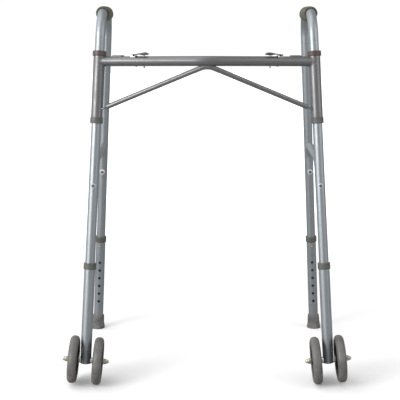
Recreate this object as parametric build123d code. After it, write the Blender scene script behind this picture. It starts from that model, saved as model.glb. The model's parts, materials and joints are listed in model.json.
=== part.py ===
"""Extra-wide folding walking frame: two swinging side frames on a bowed front cross frame.

Millimetres. +Z is up, -Y is the front (the end with the wheels) and +X is the user's left.
The origin lies on the floor, in the middle of the ground box. Every left-hand piece is modelled
and the right-hand one is its mirror image in the middle plane.
"""
from build123d import *
import os
from math import asin, cos, hypot, radians, sin, tan

# ---- posture of the legs -------------------------------------------------------------------
AXLE_X = 320.5          # front leg axis at axle height, from the middle plane
LEAN_IN = 3.01          # side frames lean in towards the top
FRONT_LEAN = 7.15       # front legs lean back towards the top
REAR_LEAN = 6.03        # rear legs lean forward towards the top
TOE_OUT = 1.6           # opened side frames stand this far past square
AXLE_SAG = 2.0          # each axle's outer end stands up this far past square to its leg
BASE = 482.0            # front leg axis at axle height to rear leg axis at the floor
GRIP_LINE = 901.6       # centre of the top tube above the axle, in the side frame's plane

# ---- tubes (outer radius, bore radius) -----------------------------------------------------
LEG_R, LEG_BORE = 12.7, 11.1
EXT_R, EXT_BORE = 14.3, 12.8
SLEEVE_R, SLEEVE_BORE = 15.0, 13.8
BAR_R, BAR_BORE = 12.7, 11.1
SIDE_BRACE_R, SIDE_BRACE_BORE = 11.0, 9.6
FRONT_BRACE_R = 6.35
TOP_BEND_R = 70.0
RUNNING = 0.05          # radial clearance of a running fit
FACE_GAP = 0.3          # gap between faces that turn past each other

# ---- heights along the front leg, from the axle --------------------------------------------
EXT_BOTTOM = -7.0
INNER_BOTTOM = 195.0
FRONT_BUTTON = 226.5
FRONT_COLLAR = (241.5, 258.5)
FRONT_BRACE_BOLT, FRONT_BRACE_END = 461.0, 442.0
LOWER_BUSH, SLEEVE, TOP_RING = (624.0, 640.0), (640.0, 798.0), (798.0, 811.5)
BRACE_WELD, BAR_HEIGHT = 656.0, 784.6

# ---- heights along the rear leg, from the floor --------------------------------------------
REAR_INNER_BOTTOM = 237.0
REAR_BUTTON = 270.5
REAR_COLLAR = (283.5, 300.5)
REAR_BRACE_BOLT, REAR_BRACE_END = 512.5, 493.5
FOOT_FLOOR, FOOT_TOP = 12.0, 43.5       # the leg stands on the first inside the rubber foot

# ---- height adjustment ---------------------------------------------------------------------
HOLE_PITCH = 25.4
HOLE_COUNT = 8
BUTTON_R = 3.7
BUTTON_SEAT = 8.6       # leg axis to the inner face of the button's flange
BUTTON_REACH = 16.8     # leg axis to the button's tip
BUTTON_TRAVEL = 4.4
COLLAR_R = 16.6

# ---- side brace and grip -------------------------------------------------------------------
BRACE_LINE = 521.0      # centre of the side brace's level tube above the axle
BRACE_BEND_R = 45.0
BRACE_STANDOFF = LEG_R + SIDE_BRACE_R + 0.1
BRACE_BOLT_R, BOLT_HEAD_R, BOLT_HEAD_H = 3.0, 4.4, 2.6
BOLT_WASHER_T, FRONT_WASHER_R, REAR_WASHER_R = 1.2, 6.2, 7.4
GRIP_R = 18.5
GRIP_START, GRIP_STOP = 5.0, 18.0       # degrees of the front and rear bend that the grip covers

# ---- front cross frame ---------------------------------------------------------------------
BOW = 75.0              # how far the middle of the crossbar stands in front of its ends
BOW_RISE = 4.4
BOW_BEND_R = 110.0
FRONT_BRACE_DROP = 11.0         # below the crossbar's centre, at the middle
FRONT_BRACE_BEND_R = 42.0
BRACE_TAB = (17.0, 4.4)         # the flattened ends of the front brace
TAB_LENGTH, TAB_BLEND = 8.0, 8.0
TOP_RING_R, LOWER_BUSH_R = 17.8, 16.6
RING_SPIGOT, BUSH_SPIGOT = 6.0, 25.0

# ---- release, along the crossbar from the leg axis, and height above its centre ------------
HOUSING, HOUSING_TOP = (36.0, 66.0), 15.4
GUIDE = (40.0, 64.0)
PIVOT, PIVOT_Z = 92.0, 15.5
PADDLE_PEAK, PADDLE_PEAK_Z = 124.0, 21.3
PADDLE_END, PADDLE_END_Z = 132.5, 18.2
PADDLE_T, PADDLE_W = 2.5, 20.0
SKIRT_START, SKIRT_T, SKIRT_PEAK, SKIRT_END = 106.0, 1.4, 5.0, 2.6
PADDLE_SLOPE = (PADDLE_PEAK_Z - PIVOT_Z) / (PADDLE_PEAK - PIVOT)
KNUCKLE_R, PIN_R, EAR_IN, EAR_OUT = 2.5, 1.4, 6.3, 8.3
EAR_CLEAR = 5.8         # the paddle is narrow this far from its pivot, to pass between the ears
BRACKET, BRACKET_TOP = (86.0, 102.6), 13.4
RIVET_AT, RIVET_SIDE, RIVET_R = 99.2, -6.4, 1.6
PLUNGER, PLUNGER_R, PLUNGER_FOOT = 122.0, 2.5, -17.7
BOLT_R, BOLT_TIP = 4.0, LEG_R + FACE_GAP
BOLT_BLOCK, BOLT_BLOCK_R = (105.0, 137.0), 7.0
BOLT_SLOT = (114.5, 129.5)
SPRING_STOP = (166.0, 169.0)
SPRING_R, SPRING_WIRE_R, SPRING_TURNS = 5.0, 0.7, 8
PLUNGER_MM_PER_RAD = PLUNGER - PIVOT
BOLT_MM_PER_RAD = 33.0

# ---- wheels --------------------------------------------------------------------------------
WHEEL_R, WHEEL_W, TYRE_EDGE_R = 62.5, 24.0, 10.5
WHEEL_PITCH = 32.0      # leg axis to each wheel's middle plane
RIM_R, RIM_W = 50.0, 19.0
HUB_RIBS = 6
BOSS_R, BOSS_HALF = 11.0, 13.2
AXLE_R, AXLE_HALF = 4.0, 54.0
SPACER_R, WASHER_T = 8.0, 1.5
NUT_FLATS, NUT_H, DOME_R = 13.0, 6.5, 5.6

ON_BASE = (Align.CENTER, Align.CENTER, Align.MIN)


# ---- small helpers -------------------------------------------------------------------------
def rod(radius, low, high):
    """A round bar on the local Z axis."""
    return Pos(0, 0, low) * Cylinder(radius, high - low, align=ON_BASE)


def tube(outer, bore, low, high):
    return rod(outer, low, high) - rod(bore, low - 1, high + 1)


def along_x(radius, low, high):
    return Rot(0, 90, 0) * rod(radius, low, high)


def along_y(radius, low, high):
    return Rot(-90, 0, 0) * rod(radius, low, high)


def piped(path, radius):
    """A round bar that follows a path."""
    return sweep(Plane(origin=path @ 0, z_dir=path % 0) * Circle(radius), path=path)


# ---- where the legs stand ------------------------------------------------------------------
CROSS_RISE = (sin(radians(LEAN_IN)) * cos(radians(TOE_OUT))
              + cos(radians(LEAN_IN)) * sin(radians(FRONT_LEAN)) * sin(radians(TOE_OUT)))
AXLE_TILT = asin(CROSS_RISE * cos(radians(AXLE_SAG))
                 + cos(radians(LEAN_IN)) * cos(radians(FRONT_LEAN)) * sin(radians(AXLE_SAG)))
AXLE_Z = ((WHEEL_PITCH + WHEEL_W / 2 - TYRE_EDGE_R) * sin(AXLE_TILT)
          + (WHEEL_R - TYRE_EDGE_R) * cos(AXLE_TILT) + TYRE_EDGE_R)

SQUARE = Pos(AXLE_X, 0, AXLE_Z) * Rot(0, -LEAN_IN, 0) * Rot(-FRONT_LEAN, 0, 0)
FRONT = SQUARE * Rot(0, 0, -TOE_OUT)        # Z up the front leg, Y to the rear, X outwards
AXLE_LINE = FRONT * Rot(0, -AXLE_SAG, 0)    # X along the axle, outwards
SIDE = FRONT * Rot(FRONT_LEAN, 0, 0)        # the side frame's own plane, YZ
REAR = SIDE * Pos(0, BASE, -AXLE_Z / cos(radians(LEAN_IN))) * Rot(REAR_LEAN, 0, 0)


def side_point(place, distance, offset=0.0):
    """A point of a leg's frame, in the side frame's plane."""
    at = (SIDE.inverse() * place * Pos(0, offset, distance)).position
    return Vector(0, at.Y, at.Z)


def side_level(place, offset, height):
    """Where a line beside a leg reaches a height of the side frame's plane."""
    low, high = side_point(place, 0, offset), side_point(place, 1000, offset)
    return low + (high - low) * ((height - low.Z) / (high.Z - low.Z))


# ---- the crossbar's own frame: X towards the middle, Z up, origin on the leg's axis --------
BAR_END = (SQUARE * Pos(0, 0, BAR_HEIGHT)).position
BAR_APEX = Vector(0, BAR_END.Y - BOW, BAR_END.Z + BOW_RISE)
BAR_X = (BAR_APEX - BAR_END).normalized()
BAR_UP = (Vector(0, 0, 1) - BAR_X * BAR_X.Z).normalized()
BAR = Plane(origin=BAR_END, x_dir=BAR_X, z_dir=BAR_UP).location


def mirrored(shape):
    return mirror(shape, about=Plane.YZ)


def sleeve_core():
    """What a sleeve fills, to cope the tubes that are welded to it."""
    return SQUARE * rod(SLEEVE_R, LOWER_BUSH[0], TOP_RING[1])


# ---- front cross frame ---------------------------------------------------------------------
def bow_path():
    return FilletPolyline(BAR_END, BAR_APEX, Vector(-BAR_END.X, BAR_END.Y, BAR_END.Z), radius=BOW_BEND_R)


def make_crossbar():
    bar = piped(bow_path(), BAR_R) - piped(bow_path(), BAR_BORE)
    plunger_hole = BAR * Pos(PLUNGER, 0, 0) * rod(PLUNGER_R + 0.1, -20, 20)
    rivet_hole = BAR * Pos(RIVET_AT, RIVET_SIDE, 0) * rod(RIVET_R, -20, 20)
    for cut in (sleeve_core(), plunger_hole, rivet_hole):
        bar = bar - cut - mirrored(cut)
    return bar


def make_front_brace():
    end = (SQUARE * Pos(0, 0, BRACE_WELD)).position
    apex = BAR_APEX - Vector(0, 0, FRONT_BRACE_DROP)
    away = (apex - end).normalized()
    tab_end = end + away * (SLEEVE_R + TAB_LENGTH)
    round_end = tab_end + away * TAB_BLEND
    path = FilletPolyline(round_end, apex, Vector(-round_end.X, round_end.Y, round_end.Z),
                          radius=FRONT_BRACE_BEND_R)
    brace = piped(path, FRONT_BRACE_R)
    across = away.cross(Vector(0, 0, 1)).normalized()
    flat = RectangleRounded(*BRACE_TAB, BRACE_TAB[1] / 2 - 0.05)
    tab_plane = Plane(origin=tab_end, x_dir=across, z_dir=away)
    round_plane = Plane(origin=round_end, x_dir=across, z_dir=away)
    tab = extrude(tab_plane * flat, amount=-TAB_LENGTH)
    blend = loft([tab_plane * flat, round_plane * Circle(FRONT_BRACE_R)])
    ends = tab + blend
    brace = brace + ends + mirrored(ends)
    for cut in (sleeve_core(), mirrored(sleeve_core()), piped(bow_path(), BAR_R)):
        brace = brace - cut
    return brace


def make_sleeve():
    sleeve = SQUARE * tube(SLEEVE_R, SLEEVE_BORE, *SLEEVE)
    return sleeve - BAR * along_x(BOLT_R + 0.2, 0, 2 * SLEEVE_R)


def make_top_ring():
    """A ring over the sleeve's end, notched where the crossbar meets the sleeve."""
    ring = fillet(rod(TOP_RING_R, *TOP_RING).edges(), 2.0)
    spigot = rod(SLEEVE_BORE, TOP_RING[0] - RING_SPIGOT, TOP_RING[0])
    ring = SQUARE * (ring + spigot - rod(LEG_R + RUNNING, TOP_RING[0] - 50, TOP_RING[1] + 1))
    return ring - BAR * along_x(BAR_R + 0.2, SLEEVE_R - 0.3, 60)


def make_lower_bush():
    collar = fillet(rod(LOWER_BUSH_R, *LOWER_BUSH).edges(), 1.2)
    spigot = rod(SLEEVE_BORE, LOWER_BUSH[1], LOWER_BUSH[1] + BUSH_SPIGOT)
    return SQUARE * (collar + spigot - rod(LEG_R + RUNNING, LOWER_BUSH[0] - 1, LOWER_BUSH[1] + 50))


# ---- release mechanism ---------------------------------------------------------------------

def make_bolt_housing():
    length = HOUSING[1] - HOUSING[0]
    block = Pos(sum(HOUSING) / 2, -3.0, 5.0) * Box(length, 17.0, HOUSING_TOP - 5.0, align=ON_BASE)
    block = fillet(block.edges().filter_by(Axis.Z), 4.0)
    block = fillet(block.faces().sort_by(Axis.Z)[-1].edges(), 2.0)
    return BAR * (block - along_x(BAR_R, HOUSING[0] - 1, HOUSING[1] + 1))


def make_bolt_guide():
    return BAR * (along_x(BAR_BORE, *GUIDE) - along_x(BOLT_R + RUNNING, GUIDE[0] - 1, GUIDE[1] + 1))


def make_lever_bracket():
    middle, length = sum(BRACKET) / 2, BRACKET[1] - BRACKET[0]
    base = Pos(middle, 0, 8.0) * Box(length, 18.0, BRACKET_TOP - 8.0, align=ON_BASE)
    base = fillet(base.edges().filter_by(Axis.Z), 3.0)
    ear = along_y(KNUCKLE_R + 0.4, EAR_IN, EAR_OUT)
    ear = Pos(PIVOT, 0, PIVOT_Z) * ear + Pos(PIVOT, (EAR_IN + EAR_OUT) / 2, 12.0) * Box(
        2 * (KNUCKLE_R + 0.4), EAR_OUT - EAR_IN, PIVOT_Z - 12.0, align=ON_BASE)
    bracket = base + ear + mirror(ear, about=Plane.XZ)
    bracket -= Pos(PIVOT, 0, PIVOT_Z) * along_y(PIN_R, -20, 20)
    bracket -= Pos(PIVOT, 0, PIVOT_Z) * along_y(KNUCKLE_R + 0.2, -EAR_IN, EAR_IN)
    bracket -= along_x(BAR_R, BRACKET[0] - 1, BRACKET[1] + 1)
    return BAR * (bracket - Pos(RIVET_AT, RIVET_SIDE, 0) * rod(RIVET_R, 0, 20))


def make_bracket_fasteners():
    """The lever's pivot pin, the bracket's rivet and the disc that the bolt's spring pushes on."""
    pin = Pos(PIVOT, 0, PIVOT_Z) * along_y(PIN_R, -EAR_OUT - 0.8, EAR_OUT + 0.8)
    head = Pos(0, 0, BRACKET_TOP) * fillet(rod(2.9, 0, 1.0).edges().sort_by(Axis.Z)[-1:], 0.6)
    tail = fillet(rod(2.6, -14.4, -12.0).edges().sort_by(Axis.Z)[:1], 1.0)
    tail -= Pos(0, -RIVET_SIDE, 0) * along_x(BAR_R, -10, 10)
    rivet = Pos(RIVET_AT, RIVET_SIDE, 0) * (rod(RIVET_R, -14, BRACKET_TOP + 0.5) + head + tail)
    stop = along_x(BAR_BORE, *SPRING_STOP)
    return [BAR * pin, BAR * rivet, BAR * stop]


def make_lever():
    """A pressed paddle with side skirts, which turns on the pivot pin and ends in a lip."""
    lift = PADDLE_T / 2 * hypot(1, PADDLE_SLOPE)
    outline = Plane.XZ * make_face(Polyline(
        (PIVOT, PIVOT_Z - lift),
        (PADDLE_PEAK - 0.4, PADDLE_PEAK_Z - lift),
        (PADDLE_END - 1.0, PADDLE_END_Z - PADDLE_T / 2),
        (PADDLE_END + 0.6, PADDLE_END_Z + 0.6),
        (PADDLE_PEAK + 0.6, PADDLE_PEAK_Z + lift),
        (PIVOT, PIVOT_Z + lift),
        close=True))
    strip = extrude(outline, amount=PADDLE_W / 2, both=True)
    peak = [e for e in strip.edges().filter_by(Axis.Y) if abs(e.center().X - PADDLE_PEAK) < 2]
    strip = fillet(peak, 1.2)
    skirt = Plane.XZ * make_face(Polyline(
        (SKIRT_START, PIVOT_Z + PADDLE_SLOPE * (SKIRT_START - PIVOT)),
        (PADDLE_PEAK, PADDLE_PEAK_Z),
        (PADDLE_END, PADDLE_END_Z),
        (PADDLE_END - 0.6, PADDLE_END_Z - SKIRT_END),
        (PADDLE_PEAK, PADDLE_PEAK_Z - lift - SKIRT_PEAK),
        close=True))
    skirts = extrude(skirt, amount=PADDLE_W / 2, both=True)
    strip += skirts - Box(400, PADDLE_W - 2 * SKIRT_T, 100)
    narrow = EAR_IN - FACE_GAP
    for side in (-1, 1):
        strip -= Pos(PIVOT, side * (narrow + PADDLE_W / 2), PIVOT_Z) * Box(2 * EAR_CLEAR, PADDLE_W, 30)
    knuckle = Pos(PIVOT, 0, PIVOT_Z) * along_y(KNUCKLE_R, -narrow, narrow)
    pin_hole = Pos(PIVOT, 0, PIVOT_Z) * along_y(PIN_R + RUNNING, -20, 20)
    return BAR * (strip + knuckle - pin_hole)


def make_plunger():
    below_paddle = (PADDLE_T / 2 + FACE_GAP + PLUNGER_R) * hypot(1, PADDLE_SLOPE)
    under = PIVOT_Z + PADDLE_SLOPE * (PLUNGER - PIVOT) - below_paddle
    pin = fillet(rod(PLUNGER_R, PLUNGER_FOOT, under).edges().sort_by(Axis.Z)[:1], 1.0)
    return BAR * Pos(PLUNGER, 0, 0) * (pin + Pos(0, 0, under) * Sphere(PLUNGER_R))


def make_lock_bolt():
    tip = along_x(BOLT_R, BOLT_TIP, BOLT_BLOCK[0])
    tip = chamfer(tip.edges().sort_by(Axis.X)[:1], 0.8)
    block = along_x(BOLT_BLOCK_R, *BOLT_BLOCK)
    slot = Pos(sum(BOLT_SLOT) / 2, 0, 0) * Box(BOLT_SLOT[1] - BOLT_SLOT[0], 2 * PLUNGER_R + 0.6, 30)
    return BAR * (tip + block - slot)


def make_bolt_spring():
    start, stop = BOLT_BLOCK[1] + SPRING_WIRE_R + 0.2, SPRING_STOP[0] - SPRING_WIRE_R - 0.2
    helix = Helix(pitch=(stop - start) / SPRING_TURNS, height=stop - start, radius=SPRING_R)
    coil = sweep(Plane(origin=helix @ 0, z_dir=helix % 0) * Circle(SPRING_WIRE_R), path=helix, is_frenet=True)
    return BAR * Pos(start, 0, 0) * Rot(0, 90, 0) * coil


# ---- side frame ----------------------------------------------------------------------------
def corner_wire(first, second, third, fourth, radius):
    return SIDE * Wire(FilletPolyline(first, second, third, fourth, radius=radius).edges())


def side_path():
    return corner_wire(side_point(FRONT, INNER_BOTTOM), side_level(FRONT, 0, GRIP_LINE),
                       side_level(REAR, 0, GRIP_LINE), side_point(REAR, REAR_INNER_BOTTOM), TOP_BEND_R)


def make_side_tube():
    path = side_path()
    tubing = piped(path, LEG_R) - piped(path, LEG_BORE)
    cuts = [
        FRONT * Pos(0, 0, FRONT_BUTTON) * along_y(BUTTON_R + 0.2, 0, 30),
        REAR * Pos(0, 0, REAR_BUTTON) * along_y(BUTTON_R + 0.2, -30, 0),
        FRONT * Pos(0, 0, FRONT_BRACE_BOLT) * along_y(BRACE_BOLT_R, -30, 30),
        REAR * Pos(0, 0, REAR_BRACE_BOLT) * along_y(BRACE_BOLT_R, -30, 30),
        BAR * along_x(BOLT_R + 0.3, 0, 30),
    ]
    for cut in cuts:
        tubing = tubing - cut
    return tubing


def make_grip():
    """Foam sleeve over the level top tube, from the front bend to the rear bend."""
    front = side_level(FRONT, 0, GRIP_LINE)
    rear = side_level(REAR, 0, GRIP_LINE)
    front_turn, rear_turn = 90 - FRONT_LEAN, 90 - REAR_LEAN
    front_bend = Vector(0, front.Y + TOP_BEND_R * tan(radians(front_turn / 2)), GRIP_LINE - TOP_BEND_R)
    rear_bend = Vector(0, rear.Y - TOP_BEND_R * tan(radians(rear_turn / 2)), GRIP_LINE - TOP_BEND_R)

    def on(centre, angle):
        return centre + Vector(0, sin(radians(angle)), cos(radians(angle))) * TOP_BEND_R

    first = ThreePointArc(on(front_bend, -GRIP_START), on(front_bend, -GRIP_START / 2), on(front_bend, 0))
    level = Line(on(front_bend, 0), on(rear_bend, 0))
    last = ThreePointArc(on(rear_bend, 0), on(rear_bend, GRIP_STOP / 2), on(rear_bend, GRIP_STOP))
    path = SIDE * Wire([first.edge(), level.edge(), last.edge()])
    return piped(path, GRIP_R) - piped(path, LEG_R)


def make_side_brace():
    front_level = side_level(FRONT, BRACE_STANDOFF, BRACE_LINE)
    rear_level = side_level(REAR, -BRACE_STANDOFF, BRACE_LINE)
    path = corner_wire(side_point(FRONT, FRONT_BRACE_END, BRACE_STANDOFF), front_level, rear_level,
                       side_point(REAR, REAR_BRACE_END, -BRACE_STANDOFF), BRACE_BEND_R)
    brace = piped(path, SIDE_BRACE_R) - piped(path, SIDE_BRACE_BORE)
    brace -= FRONT * Pos(0, 0, FRONT_BRACE_BOLT) * along_y(BRACE_BOLT_R, 0, 60)
    return brace - REAR * Pos(0, 0, REAR_BRACE_BOLT) * along_y(BRACE_BOLT_R, -60, 0)


def make_brace_bolt(head_at, nut_at):
    """A socket-headed bolt along Y, with its head at one surface and its nut at the other."""
    way = 1 if nut_at > head_at else -1
    head = rod(BOLT_HEAD_R, -BOLT_HEAD_H, 1.4)
    head = fillet(head.edges().sort_by(Axis.Z)[:1], 1.6)
    head -= extrude(Pos(0, 0, -BOLT_HEAD_H) * RegularPolygon(2.0, 6, major_radius=False), amount=1.8)
    span = abs(nut_at - head_at)
    shank = rod(BRACE_BOLT_R, 1.0, span + 6.5)
    nut = extrude(Pos(0, 0, span - 1.2) * RegularPolygon(5.0, 6, major_radius=False), amount=6.0)
    nut -= rod(BRACE_BOLT_R, 0, span + 9)
    turn = Rot(-90, 0, 0) if way > 0 else Rot(90, 0, 0)
    return Pos(0, head_at, 0) * turn * (head + shank), Pos(0, head_at, 0) * turn * nut


def make_brace_washers():
    """A washer under each bolt's head, dished to the tube that it lies on."""
    far = BRACE_STANDOFF + SIDE_BRACE_R
    front = along_y(FRONT_WASHER_R, -LEG_R - BOLT_WASHER_T, -LEG_R + 4) - rod(LEG_R, -20, 20)
    rear = along_y(REAR_WASHER_R, -far - BOLT_WASHER_T, -far + 4)
    rear -= Pos(0, -BRACE_STANDOFF, 0) * rod(SIDE_BRACE_R, -20, 20)
    hole = along_y(BRACE_BOLT_R, -80, 80)
    return [FRONT * Pos(0, 0, FRONT_BRACE_BOLT) * (front - hole),
            REAR * Pos(0, 0, REAR_BRACE_BOLT) * (rear - hole)]


def make_brace_bolts():
    """Front: head on the leg. Rear: head on the brace. The nuts are dished to the tubes."""
    far = BRACE_STANDOFF + SIDE_BRACE_R
    front_bolt, front_nut = make_brace_bolt(-LEG_R - BOLT_WASHER_T, far)
    rear_bolt, rear_nut = make_brace_bolt(-far - BOLT_WASHER_T, LEG_R)
    front_washer, rear_washer = make_brace_washers()
    leg = rod(LEG_R, -20, 20) - along_y(BRACE_BOLT_R, -40, 40)
    front_tube = Pos(0, BRACE_STANDOFF, 0) * rod(SIDE_BRACE_R, -20, 20) - along_y(BRACE_BOLT_R, 0, 80)
    rear_tube = Pos(0, -BRACE_STANDOFF, 0) * rod(SIDE_BRACE_R, -20, 20) - along_y(BRACE_BOLT_R, -80, 0)
    front_place = FRONT * Pos(0, 0, FRONT_BRACE_BOLT)
    rear_place = REAR * Pos(0, 0, REAR_BRACE_BOLT)
    return [front_place * (front_bolt - leg) - front_washer, front_place * (front_nut - front_tube),
            rear_place * (rear_bolt - rear_tube) - rear_washer, rear_place * (rear_nut - leg)]


def make_button_spring(sign):
    """A bowed steel strip inside the leg: one arm carries the button, the other bears on the wall."""
    arm = BUTTON_SEAT - 0.3
    path = FilletPolyline((0, sign * arm, -12), (0, sign * arm, 14), (0, sign * 2, 44),
                          (0, -sign * 2, 44), (0, -sign * 9.0, 14), (0, -sign * 9.0, -6), radius=1.8)
    return sweep(Plane(origin=path @ 0, z_dir=path % 0, x_dir=(1, 0, 0)) * Rectangle(8, 0.6), path=path)


def make_button(sign):
    """A round button with a flange; it looks out of the leg along +Y or -Y."""
    stem = fillet(rod(BUTTON_R, BUTTON_SEAT, BUTTON_REACH).edges().sort_by(Axis.Z)[-1:], 2.6)
    flange = rod(4.8, BUTTON_SEAT, BUTTON_SEAT + 0.9)
    return Rot(-90 * sign, 0, 0) * (stem + flange)


# ---- leg extensions ------------------------------------------------------------------------
def make_extension(bottom, top, button, sign):
    """An outer tube with a row of adjusting holes on its +Y or -Y side."""
    leg = tube(EXT_R, EXT_BORE, bottom, top)
    for n in range(HOLE_COUNT):
        reach = (0, 30) if sign > 0 else (-30, 0)
        leg -= Pos(0, 0, button - n * HOLE_PITCH) * along_y(BUTTON_R + 0.3, *reach)
    return leg


def make_collar(low, high):
    """A plastic cap on the extension's top end, with a lip that guides the inner tube."""
    body = fillet(rod(COLLAR_R, low, high).edges(), 1.6)
    return body - rod(EXT_R, low - 1, high - 3) - rod(EXT_BORE, low, high + 1)


def make_front_leg():
    leg = make_extension(EXT_BOTTOM, FRONT_COLLAR[1] - 3, FRONT_BUTTON, 1)
    return FRONT * leg - AXLE_LINE * along_x(AXLE_R, -30, 30)


def make_rear_leg():
    return REAR * make_extension(FOOT_FLOOR, REAR_COLLAR[1] - 3, REAR_BUTTON, -1)


def make_rear_foot():
    """A tapered rubber tip, cut flat by the floor, with a rounded lip and a socket for the leg."""
    profile = make_face(Polyline((0, -5), (20.6, -5), (20.8, 3), (19.6, 9), (17.6, FOOT_TOP - 2.5),
                                 (16.2, FOOT_TOP), (0, FOOT_TOP), close=True))
    foot = revolve(Plane.XZ * profile, axis=Axis.Z)
    foot = REAR * (foot - rod(EXT_R, FOOT_FLOOR, FOOT_TOP + 1))
    below = Pos(0, 0, -50) * Box(4000, 4000, 100)
    return foot - below


# ---- wheels --------------------------------------------------------------------------------
def make_axle():
    return AXLE_LINE * chamfer(along_x(AXLE_R, -AXLE_HALF, AXLE_HALF).edges(), 0.8)


def make_axle_nuts():
    """A domed nut on each end of the axle."""
    face = WHEEL_PITCH + BOSS_HALF + FACE_GAP + WASHER_T
    hexagon = extrude(RegularPolygon(NUT_FLATS / 2, 6, major_radius=False), amount=NUT_H)
    hexagon &= Cone(NUT_FLATS * 0.72, NUT_FLATS * 0.52, NUT_H, align=ON_BASE)
    dome = rod(DOME_R, NUT_H, NUT_H + 2) + Pos(0, 0, NUT_H + 2) * Sphere(DOME_R)
    dome &= rod(DOME_R + 1, NUT_H, NUT_H + 20)
    nut = Pos(0, 0, face) * (hexagon + dome) - rod(AXLE_R, 0, AXLE_HALF)
    return [AXLE_LINE * Rot(0, way, 0) * nut for way in (90, -90)]


def make_axle_spacers():
    """On each side of the leg a spacer dished to the tube, and a washer under the nut."""
    inner = WHEEL_PITCH - BOSS_HALF - FACE_GAP
    outer = WHEEL_PITCH + BOSS_HALF + FACE_GAP
    pieces = []
    for way in (90, -90):
        spacer = rod(SPACER_R, 9, inner) - rod(AXLE_R, 0, 60)
        spacer = AXLE_LINE * Rot(0, way, 0) * spacer - FRONT * rod(EXT_R, -30, 30)
        washer = AXLE_LINE * Rot(0, way, 0) * tube(SPACER_R + 1, AXLE_R, outer, outer + WASHER_T)
        pieces += [spacer, washer]
    return pieces


def make_tyre():
    """A solid tyre on X, with a rounded tread and a shallow groove beside the rim."""
    section = Pos(WHEEL_R - WHEEL_W / 2, 0) * RectangleRounded(WHEEL_W, WHEEL_W, TYRE_EDGE_R)
    section -= Pos(RIM_R / 2, 0) * Rectangle(RIM_R, 2 * WHEEL_W)
    tyre = revolve(Plane.XZ * section, axis=Axis.Z)
    for side in (-1, 1):
        tyre -= Pos(0, 0, side * (WHEEL_W / 2 - 1)) * Torus(RIM_R + 4.5, 1.2)
    return Rot(0, 90, 0) * tyre


def make_hub():
    """A one-piece rim, web and boss, with ribs and round openings in the web."""
    rim = tube(RIM_R, RIM_R - 4, -RIM_W / 2, RIM_W / 2)
    web = rod(RIM_R - 3, -2.5, 2.5)
    boss = fillet(rod(BOSS_R, -BOSS_HALF, BOSS_HALF).edges(), 1.0)
    hub = rim + web + boss
    for n in range(HUB_RIBS):
        rib = Pos((BOSS_R + RIM_R - 4) / 2, 0, 0) * Box(RIM_R - 4 - BOSS_R + 2, 3, RIM_W - 5)
        hub += Rot(0, 0, n * 360 / HUB_RIBS) * rib
    for n in range(HUB_RIBS):
        hub -= Rot(0, 0, (n + 0.5) * 360 / HUB_RIBS) * Pos(29.5, 0, 0) * Cylinder(6.5, 20)
    return Rot(0, 90, 0) * (hub - rod(AXLE_R + RUNNING, -50, 50))


# ---- everything ----------------------------------------------------------------------------
def solids_of(made):
    pieces = made if isinstance(made, list) else [made]
    return [s for piece in pieces for s in piece.solids()]


def left_pieces():
    """Every piece of which there is one on each side, as node name and solids."""
    made = {
        "sleeve": make_sleeve(), "top_ring": make_top_ring(), "lower_bush": make_lower_bush(),
        "bolt_housing": make_bolt_housing(), "lever_bracket": make_lever_bracket(),
        "bolt_spring": make_bolt_spring(), "lever": make_lever(), "plunger": make_plunger(),
        "lock_bolt": make_lock_bolt(), "side_tube": make_side_tube(), "grip": make_grip(),
        "side_brace": make_side_brace(), "brace_bolts": make_brace_bolts(),
        "brace_washers": make_brace_washers(),
        "button_springs": [FRONT * Pos(0, 0, FRONT_BUTTON) * make_button_spring(1),
                           REAR * Pos(0, 0, REAR_BUTTON) * make_button_spring(-1)],
        "front_button": FRONT * Pos(0, 0, FRONT_BUTTON) * make_button(1),
        "rear_button": REAR * Pos(0, 0, REAR_BUTTON) * make_button(-1),
        "front_leg": make_front_leg(), "front_collar": FRONT * make_collar(*FRONT_COLLAR),
        "axle": make_axle(), "axle_nuts": make_axle_nuts(), "axle_spacers": make_axle_spacers(),
        "rear_leg": make_rear_leg(), "rear_collar": REAR * make_collar(*REAR_COLLAR),
        "rear_foot": make_rear_foot(),
    }
    tyre, hub = make_tyre(), make_hub()
    for name, way in (("outer", 1), ("inner", -1)):
        made[name + "_tyre"] = AXLE_LINE * Pos(way * WHEEL_PITCH, 0, 0) * tyre
        made[name + "_hub"] = AXLE_LINE * Pos(way * WHEEL_PITCH, 0, 0) * hub
    return {name: solids_of(piece) for name, piece in made.items()}


def all_nodes():
    nodes = {"crossbar": solids_of(make_crossbar()), "front_brace": solids_of(make_front_brace())}
    for name, make in (("bolt_guides", make_bolt_guide), ("crossbar_fasteners", make_bracket_fasteners)):
        left = solids_of(make())
        nodes[name] = left + [mirrored(s) for s in left]
    for name, left in left_pieces().items():
        nodes["left_" + name] = left
        nodes["right_" + name] = [mirrored(s) for s in left]
    return nodes


NODES = all_nodes()
GROUND_BOX = Compound(children=[Compound(s) for n, s in NODES.items() if "tyre" in n or "foot" in n])
BOX = GROUND_BOX.bounding_box()
SHIFT_Y = -(BOX.min.Y + BOX.max.Y) / 2

if __name__ == "__main__":
    os.makedirs("parts", exist_ok=True)
    for name, solids in NODES.items():
        placed = [Pos(0, SHIFT_Y, 0) * s for s in solids]
        export_step(placed[0] if len(placed) == 1 else Compound(placed), f"parts/{name}.step")
    print(f"{len(NODES)} nodes, axle height {AXLE_Z:.2f}, moved by {SHIFT_Y:.2f} in Y")
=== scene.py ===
"""Finish and soft parts of a folding walking frame, built around its packed CAD model."""

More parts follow.
